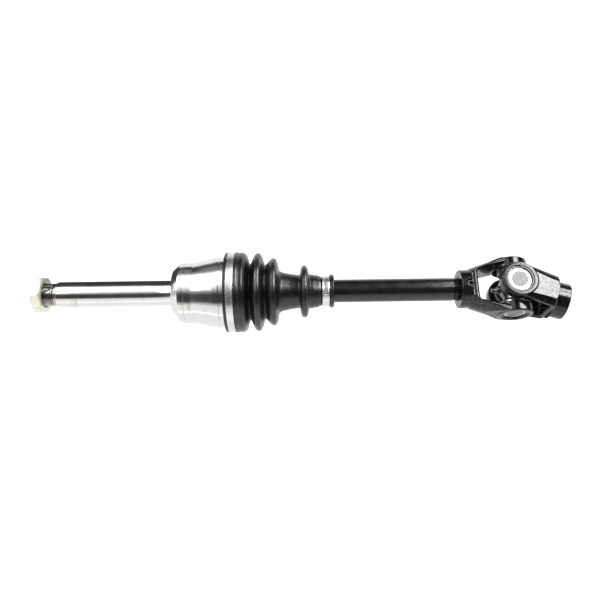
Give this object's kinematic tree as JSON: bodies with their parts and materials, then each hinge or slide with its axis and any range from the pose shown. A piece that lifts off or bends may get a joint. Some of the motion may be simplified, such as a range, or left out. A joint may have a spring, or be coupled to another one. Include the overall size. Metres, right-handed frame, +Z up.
{
  "type": "cv axle",
  "caption": "Short all-terrain vehicle half-shaft: a stub axle with a booted ball CV joint at one end of a bar shaft and a cardan universal joint with a splined yoke at the other.",
  "frame": {"origin": "centre of the stub axle's flat end face, on the axle's axis", "axes": "+X along the axle from the hub end to the gearcase end, +Z up with the axle lying on a table; the shaft yoke's cups lie along Y and the gearcase yoke's along Z"},
  "size_m": [0.4641, 0.0702, 0.0702],
  "materials": {
    "chrome_steel": "polished, ground bright",
    "zinc_plate": "pale yellow zinc plate",
    "bright_steel": "machined, bare",
    "bearing_steel": "ground and hardened",
    "clamp_steel": "rolled stainless strip",
    "black_paint": "gloss black",
    "boot_rubber": "gloss moulded",
    "seal_rubber": "matt"
  },
  "bodies": {
    "hub_side": {"outer_race_stub_axle": "chrome_steel", "hub_nut": "zinc_plate", "boot_cuff": "boot_rubber", "boot_clamp_large": "clamp_steel"},
    "boot_half_outer": {"boot_fold_1": "boot_rubber"},
    "cage": {"ball_cage": "bearing_steel", "cv_ball_1": "bearing_steel", "cv_ball_2": "bearing_steel", "cv_ball_3": "bearing_steel", "cv_ball_4": "bearing_steel", "cv_ball_5": "bearing_steel", "cv_ball_6": "bearing_steel", "boot_fold_2": "boot_rubber"},
    "boot_half_inner": {"boot_fold_3": "boot_rubber"},
    "shaft": {"drive_shaft": "black_paint", "inner_race": "bearing_steel", "inner_race_circlip": "bearing_steel", "boot_neck": "boot_rubber", "boot_clamp_small": "clamp_steel", "yoke_roll_pin": "bright_steel", "shaft_yoke": "black_paint", "bearing_cup_y_neg": "bright_steel", "needle_set_y_neg": "bearing_steel", "snap_ring_y_neg": "bearing_steel", "trunnion_seal_y_neg": "seal_rubber", "bearing_cup_y_pos": "bright_steel", "needle_set_y_pos": "bearing_steel", "snap_ring_y_pos": "bearing_steel", "trunnion_seal_y_pos": "seal_rubber"},
    "cross": {"cross": "bright_steel"},
    "gearcase_side": {"gearcase_yoke": "black_paint", "bearing_cup_z_pos": "bright_steel", "needle_set_z_pos": "bearing_steel", "snap_ring_z_pos": "bearing_steel", "trunnion_seal_z_pos": "seal_rubber", "bearing_cup_z_neg": "bright_steel", "needle_set_z_neg": "bearing_steel", "snap_ring_z_neg": "bearing_steel", "trunnion_seal_z_neg": "seal_rubber"}
  },
  "joints": [
    {"name": "cv_pitch", "type": "hinge", "parent": "hub_side", "child": "boot_half_outer", "pos_m": [0.16, 0, 0], "axis": [0, 1, 0], "range_deg": [-13.5, 13.5], "deforming": ["boot_fold_1", "boot_cuff"]},
    {"name": "cv_yaw", "type": "hinge", "parent": "boot_half_outer", "child": "cage", "pos_m": [0.16, 0, 0], "axis": [0, 0, 1], "range_deg": [-13.5, 13.5], "deforming": ["boot_fold_2"]},
    {"name": "cv_yaw_second_half", "type": "hinge", "parent": "cage", "child": "boot_half_inner", "pos_m": [0.16, 0, 0], "axis": [0, 0, 1], "range_deg": [-13.5, 13.5], "deforming": ["boot_fold_3"]},
    {"name": "cv_pitch_second_half", "type": "hinge", "parent": "boot_half_inner", "child": "shaft", "pos_m": [0.16, 0, 0], "axis": [0, 1, 0], "range_deg": [-13.5, 13.5], "deforming": ["boot_neck"]},
    {"name": "u_joint_pitch", "type": "hinge", "parent": "shaft", "child": "cross", "pos_m": [0.4153, 0, 0], "axis": [0, 1, 0], "range_deg": [-30, 30]},
    {"name": "u_joint_swivel", "type": "hinge", "parent": "cross", "child": "gearcase_side", "pos_m": [0.4153, 0, 0], "axis": [0, 0, 1], "range_deg": [-13.4, 46.6]}
  ],
  "couplings": [
    {"joint": "cv_yaw_second_half", "follows": "cv_yaw", "ratio": 1},
    {"joint": "cv_pitch_second_half", "follows": "cv_pitch", "ratio": 1}
  ]
}
